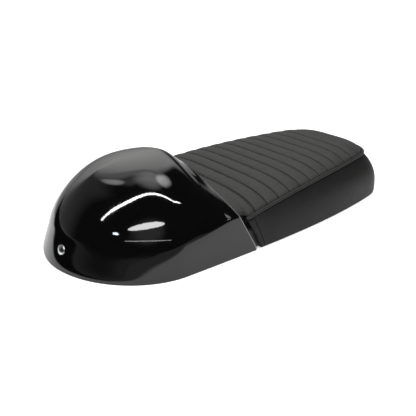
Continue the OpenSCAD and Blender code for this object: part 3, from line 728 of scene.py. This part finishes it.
def material(
    name, color, rough, metal=0.0, tone=0.12, spread=0.06, cells=None, noise=None, fixed=None, painted_shade_and_highlight=None
):
    """Node material. tone and spread vary colour and roughness; cells and noise are bumps (scale, metres);
    the last colour, if given, is painted where the mesh's stored mask is high: painted shade along seams and
    pleat lines, a painted highlight on the cowl's trimmed edge.
    """
    m = bpy.data.materials.new(name)
    m.use_nodes = True
    tree = m.node_tree
    shader = tree.nodes["Principled BSDF"]
    make = node_maker(tree)
    place = make("ShaderNodeTexCoord").outputs["Object"]
    broad = make("ShaderNodeTexNoise", {"Vector": place, "Scale": 17.0, "Detail": 4.0, "Roughness": 0.6})
    fine = make("ShaderNodeTexNoise", {"Vector": place, "Scale": 420.0, "Detail": 2.0})
    patch = make("ShaderNodeMath", {0: broad.outputs["Fac"], 1: fine.outputs["Fac"]}, operation="ADD")
    ramp = make("ShaderNodeMapRange", {"Value": patch.outputs[0], "From Min": 0.7, "From Max": 1.3})
    dark, light = [tuple(c * k for c in color) + (1,) for k in (1 - tone, 1 + tone)]
    colors = make("ShaderNodeValToRGB", {"Fac": ramp.outputs[0]})
    colors.color_ramp.elements[0].color = dark
    colors.color_ramp.elements[1].color = light
    color_out = colors.outputs["Color"]
    # Painted light from the stored mask: painted shade along seams and pleat lines, a painted highlight on
    # the cowl's trimmed lip
    if painted_shade_and_highlight:
        line = make("ShaderNodeAttribute", attribute_name="painted_shade_and_highlight").outputs["Fac"]
        painted_light_mask = make("ShaderNodeMapRange", {"Value": line, "From Min": 0.25, "From Max": 0.95})
        inputs = {0: painted_light_mask.outputs[0], 6: color_out, 7: (*painted_shade_and_highlight, 1)}
        color_out = make("ShaderNodeMix", inputs, data_type="RGBA").outputs[2]
    tree.links.new(color_out, shader.inputs["Base Color"])
    limits = {"From Min": 0.3, "From Max": 0.7, "To Min": rough - spread, "To Max": rough + spread}
    worn = make("ShaderNodeMapRange", {"Value": broad.outputs["Fac"], **limits})
    tree.links.new(worn.outputs[0], shader.inputs["Roughness"])
    shader.inputs["Metallic"].default_value = metal
    for key, value in (fixed or {}).items():
        shader.inputs[key].default_value = value
    normal = None
    if cells:
        inputs = {"Vector": place, "Scale": cells[0], "Smoothness": 0.5}
        grain = make("ShaderNodeTexVoronoi", inputs, feature="SMOOTH_F1")
        inputs = {"Height": grain.outputs["Distance"], "Distance": cells[1]}
        normal = make("ShaderNodeBump", inputs, invert=True)
    if noise:
        bumps = make("ShaderNodeTexNoise", {"Vector": place, "Scale": noise[0], "Detail": 3.0})
        inputs = {"Height": bumps.outputs["Fac"], "Distance": noise[1]}
        if normal:
            inputs["Normal"] = normal.outputs[0]
        normal = make("ShaderNodeBump", inputs)
    if normal:
        tree.links.new(normal.outputs[0], shader.inputs["Normal"])
    return m


CLEAR_COAT = {"Coat Weight": 0.4, "Coat Roughness": 0.02}
VINYL = {"Sheen Weight": 0.02, "Sheen Roughness": 0.4, "Specular IOR Level": 0.16}
LOOKS = {
    "cowl_gloss": {
        "color": (0.0016, 0.0016, 0.0018),
        "rough": 0.05,
        "tone": 0.1,
        "spread": 0.015,
        "cells": (380.0, 0.000012),
        "noise": (34.0, 0.00006),
        "fixed": CLEAR_COAT,
        # Painted highlight: light grey on the lip's trimmed edge
        "painted_shade_and_highlight": (0.2, 0.2, 0.2),
    },
    "bright_steel": {
        "color": (0.74, 0.75, 0.77),
        "rough": 0.17,
        "metal": 1.0,
        "tone": 0.05,
        "spread": 0.05,
        "noise": (900.0, 0.00002),
    },
    "zinc_steel": {
        "color": (0.5, 0.51, 0.5),
        "rough": 0.36,
        "metal": 1.0,
        "tone": 0.16,
        "spread": 0.09,
        "noise": (500.0, 0.00004),
    },
    "brass": {
        "color": (0.56, 0.42, 0.17),
        "rough": 0.3,
        "metal": 1.0,
        "spread": 0.08,
        "noise": (600.0, 0.00003),
    },
    "pan_plastic": {
        "color": (0.009, 0.009, 0.009),
        "rough": 0.5,
        "tone": 0.15,
        "spread": 0.07,
        "noise": (700.0, 0.00012),
    },
    "foam": {
        "color": (0.5, 0.44, 0.29),
        "rough": 0.95,
        "spread": 0.04,
        "cells": (420.0, 0.0006),
        "noise": (90.0, 0.0006),
    },
    "grained_vinyl": {
        "color": (0.034, 0.034, 0.033),
        "rough": 0.6,
        "tone": 0.16,
        "cells": (760.0, 0.00034),
        "noise": (130.0, 0.0003),
        "fixed": VINYL,
        # Painted shade: near black in the pleat lines
        "painted_shade_and_highlight": (0.004, 0.004, 0.004),
    },
    "smooth_vinyl": {
        "color": (0.01, 0.01, 0.0097),
        "rough": 0.42,
        "spread": 0.05,
        "cells": (900.0, 0.00016),
        "noise": (45.0, 0.0004),
        "fixed": VINYL,
        # Painted shade: near black along the skirt's seam groove
        "painted_shade_and_highlight": (0.002, 0.002, 0.002),
    },
    "piping_vinyl": {
        "color": (0.02, 0.02, 0.0195),
        "rough": 0.45,
        "spread": 0.05,
        "cells": (900.0, 0.00016),
        "noise": (160.0, 0.0003),
        "fixed": VINYL,
    },
    "rubber": {
        "color": (0.014, 0.014, 0.014),
        "rough": 0.72,
        "tone": 0.15,
        "spread": 0.08,
        "noise": (260.0, 0.0003),
    },
}
MATERIALS = {name: material(name, **look) for name, look in LOOKS.items()}
for part in frame["record"]["subparts"]:
    obj = frame["nodes"][part["node"]]
    obj.data.materials.clear()
    obj.data.materials.append(MATERIALS[part["material_slot"]])

PIECES = [
    (make_cowl(), "seat_cowl", "cowl_gloss"),
    (make_top(), "top_panel", "grained_vinyl"),
    (make_side(), "side_panel", "smooth_vinyl"),
    (make_piping(), "piping", "piping_vinyl"),
    (make_rear(), "rear_panel", "smooth_vinyl"),
    (make_foam(), "pad_foam", "foam"),
]
for obj, node, slot in PIECES:
    obj.data.materials.append(MATERIALS[slot])
    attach(obj, "root")
    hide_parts(node)
thread = make_thread()
thread.data.materials.append(MATERIALS["piping_vinyl"])
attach(thread, "root")

# Camera, floor and lights


def camera():
    """Camera at the photograph's viewing angle."""
    az, el = math.radians(CAMERA_AZ), math.radians(CAMERA_EL)
    right = Vector((math.cos(az), math.sin(az), 0))
    back = Vector((math.sin(az) * math.cos(el), -math.cos(az) * math.cos(el), math.sin(el)))
    up = back.cross(right)
    data = bpy.data.cameras.new("camera")
    data.sensor_fit = "HORIZONTAL"
    data.sensor_width = 36
    data.lens = data.sensor_width * FOCAL_PX / PICTURE_PX
    obj = bpy.data.objects.new("camera", data)
    bpy.context.scene.collection.objects.link(obj)
    x, y, z = CAMERA_PLACE
    place = Matrix.Translation((x - MID_S / 1000, y, z))
    obj.matrix_world = place @ Matrix((right, up, back)).transposed().to_4x4()
    bpy.context.scene.camera = obj


def direction(az, el):
    """Unit vector towards azimuth az from +X and elevation el, in degrees."""
    a, e = math.radians(az), math.radians(el)
    return Vector((math.cos(a) * math.cos(e), math.sin(a) * math.cos(e), math.sin(e)))


def area_light(name, place, size, radiance, roll=0.0, shape="RECTANGLE"):
    """Flat light that faces the seat. Its long side is level, turned by roll degrees."""
    data = bpy.data.lights.new(name, "AREA")
    data.shape = shape
    data.size, data.size_y = size
    data.energy = radiance * math.pi * size[0] * size[1]
    obj = bpy.data.objects.new(name, data)
    bpy.context.scene.collection.objects.link(obj)
    obj.location = place
    back = (Vector(place) - Vector(LIT_POINT)).normalized()
    right = Vector((0, 0, 1)).cross(back)
    right = right.normalized() if right.length > 0.05 else Vector((1, 0, 0))
    right = Matrix.Rotation(math.radians(roll), 3, back) @ right
    obj.rotation_euler = Matrix((right, back.cross(right), back)).transposed().to_euler()
    obj.visible_camera = False
    return obj


def shading(tree):
    """Functions that add nodes to a tree and return their value: sum, product, maximum and smooth ramp."""
    make = node_maker(tree)

    def chain(operation):
        def run(first, *others):
            for other in others:
                first = make("ShaderNodeMath", {0: first, 1: other}, operation=operation).outputs[0]
            return first

        return run

    def ramp(value, low, high, bottom=0.0, top=1.0):
        inputs = {"Value": value, "From Min": low, "From Max": high, "To Min": bottom, "To Max": top}
        return make("ShaderNodeMapRange", inputs, interpolation_type="SMOOTHSTEP").outputs[0]

    return chain("ADD"), chain("MULTIPLY"), chain("MAXIMUM"), ramp


def floor():
    """Pale paper that glows a little, and ends in the dark where the seat's gloss reflects it."""
    mesh = bpy.data.meshes.new("floor")
    mesh.from_pydata([(-6, -6, 0), (6, -6, 0), (6, 6, 0), (-6, 6, 0)], [], [(0, 1, 2, 3)])
    obj = bpy.data.objects.new("floor", mesh)
    bpy.context.scene.collection.objects.link(obj)
    pale = bpy.data.materials.new("floor")
    pale.use_nodes = True
    tree = pale.node_tree
    shader = tree.nodes["Principled BSDF"]
    paper = {
        "Base Color": (0.9, 0.9, 0.9, 1),
        "Roughness": 0.7,
        "Specular IOR Level": 0.1,
        "Emission Color": (1, 1, 1, 1),
        "Emission Strength": 0.3,
    }
    for key, value in paper.items():
        shader.inputs[key].default_value = value
    make = node_maker(tree)
    _, product, greatest, ramp = shading(tree)
    spot = make("ShaderNodeSeparateXYZ", {0: make("ShaderNodeTexCoord").outputs["Object"]})
    x, y = spot.outputs[:2]
    # The gloss sees dark past the paper's ends: in front of the seat, off its tail, and dimly on its far side
    near_x, near_y = -0.643, -0.766
    inputs = {0: y, 1: near_y, 2: product(x, near_x)}
    off = make("ShaderNodeMath", inputs, operation="MULTIPLY_ADD").outputs[0]
    past_near = product(ramp(off, 0.3, 0.42), 0.87)
    past_tail = product(ramp(x, -0.345, -0.4), ramp(y, -0.35, -0.15))
    past_far = ramp(y, 0.3, 0.55, 0.36, 0.8)
    past = greatest(past_near, past_tail, past_far)
    dark = product(past, make("ShaderNodeLightPath").outputs["Is Glossy Ray"])
    black = make("ShaderNodeBsdfDiffuse", {"Color": (0.004, 0.004, 0.004, 1)})
    both = make("ShaderNodeMixShader", {0: dark, 1: shader.outputs[0], 2: black.outputs[0]})
    tree.links.new(both.outputs[0], tree.nodes["Material Output"].inputs["Surface"])
    mesh.materials.append(pale)


def lights():
    """Bent overhead tube, a soft box with a thin line below it, a cool glint and a fill."""
    # Middle line of the tube from above, and the width of each stretch
    line = [(-2.0, 0.09), (-1.4, 0.055), (-0.6, 0.0), (-0.32, -0.045), (-0.13, -0.12)]
    line += [(0.07, -0.245), (0.3, -0.39), (0.6, -0.56), (0.79, -0.695)]
    widths = (0.05, 0.075, 0.07, 0.066, 0.062, 0.058, 0.05, 0.04)
    for k, width in enumerate(widths):
        a, b = Vector(line[k]), Vector(line[k + 1])
        middle = (a + b) / 2
        size = ((b - a).length * 1.01, width)
        light = area_light(f"strip_{k}", (middle.x, middle.y, TUBE_Z), size, radiance=30)
        light.rotation_euler = (0, 0, math.atan2(b.y - a.y, b.x - a.x))
    centre = Vector(LIT_POINT)
    area_light("softbox_top", centre + 2.4 * direction(-129, 48), (1.62, 0.33), 9.5, roll=11, shape="ELLIPSE")
    area_light("softbox_foot", centre + 2.4 * direction(-123, 27), (2.3, 0.035), 6, roll=-7.5)
    glint = area_light("glint", centre + 2.2 * direction(-163, 34), (0.17, 0.1), 24, shape="ELLIPSE")
    glint.data.color = (0.8, 0.88, 1.0)
    fill = area_light("fill", centre + 2.6 * direction(-60, 62), (1.6, 1.2), 1.6)
    fill.visible_glossy = False


def surroundings():
    """Room that the gloss reflects, even grey light on all else, and white for the camera."""
    world = bpy.data.worlds.new("world")
    world.use_nodes = True
    tree = world.node_tree
    tree.nodes.clear()
    make = node_maker(tree)
    total, product, greatest, ramp = shading(tree)
    way = make("ShaderNodeTexCoord").outputs["Generated"]
    x, y, z = make("ShaderNodeSeparateXYZ", {0: way}).outputs

    def blob(az, el, outer, inner):
        """Soft round patch: 1 within inner degrees of a direction, 0 beyond outer degrees."""
        dot = make("ShaderNodeVectorMath", {0: way, 1: direction(az, el)}, operation="DOT_PRODUCT")
        return ramp(dot.outputs["Value"], math.cos(math.radians(outer)), math.cos(math.radians(inner)))

    # Pale wall behind the seat that brightens upwards, dim to the left, with ceiling glow and two windows
    side = make("ShaderNodeMath", {0: x, 1: greatest(y, 0.05)}, operation="DIVIDE").outputs[0]
    right_end = greatest(ramp(side, 1.1, 0.8), product(ramp(side, 2.0, 1.45), ramp(z, 0.1, 0.26)))
    wall = product(ramp(y, 0.22, 0.45), ramp(z, 0.86, 0.8), right_end, ramp(side, -0.3, 0.25))
    wall = product(wall, total(product(ramp(z, -0.05, 0.75), 1.3), 0.13))
    dim = product(ramp(y, 0.1, 0.3), ramp(z, 0.93, 0.86), ramp(side, -2.4, -0.8), ramp(side, 1.2, 0.2))
    ceiling = product(ramp(y, 0.05, 0.2), ramp(z, 0.8, 0.84), ramp(z, 0.925, 0.885))
    ceiling = product(ceiling, ramp(side, -0.45, -0.05), ramp(side, 2.8, 1.8))
    above = product(ramp(y, 0.08, 0.22), ramp(z, 0.9, 0.93), ramp(z, 0.97, 0.95), ramp(side, -0.6, -0.2))
    level = total(
        wall,
        product(dim, 0.2),
        product(ceiling, 0.65),
        product(above, 0.35),
        product(blob(109, 65, 4.5, 0.5), 2.2),
        product(blob(21, 63, 9.5, 0), 3.6),
        product(blob(50, 72, 15, 0), 1.3),
        product(ramp(z, 0.075, 0.01), ramp(x, -0.45, -0.75), 0.14),
        product(blob(-127, 41, 22, 4), 0.3),
        0.012,
    )
    room = make("ShaderNodeBackground", {"Color": (1.0, 1.0, 0.99, 1), "Strength": level})
    white = make("ShaderNodeBackground", {"Color": (1, 1, 1, 1), "Strength": 1.0})
    grey = make("ShaderNodeBackground", {"Color": (1, 1, 1, 1), "Strength": 0.75})
    ray = make("ShaderNodeLightPath").outputs
    seen = make("ShaderNodeMixShader", {0: ray["Is Diffuse Ray"], 1: room.outputs[0], 2: grey.outputs[0]})
    seen = make("ShaderNodeMixShader", {0: ray["Is Camera Ray"], 1: seen.outputs[0], 2: white.outputs[0]})
    make("ShaderNodeOutputWorld", {"Surface": seen.outputs[0]})
    bpy.context.scene.world = world
    bpy.context.scene.view_settings.view_transform = "Standard"


camera()
floor()
lights()
surroundings()
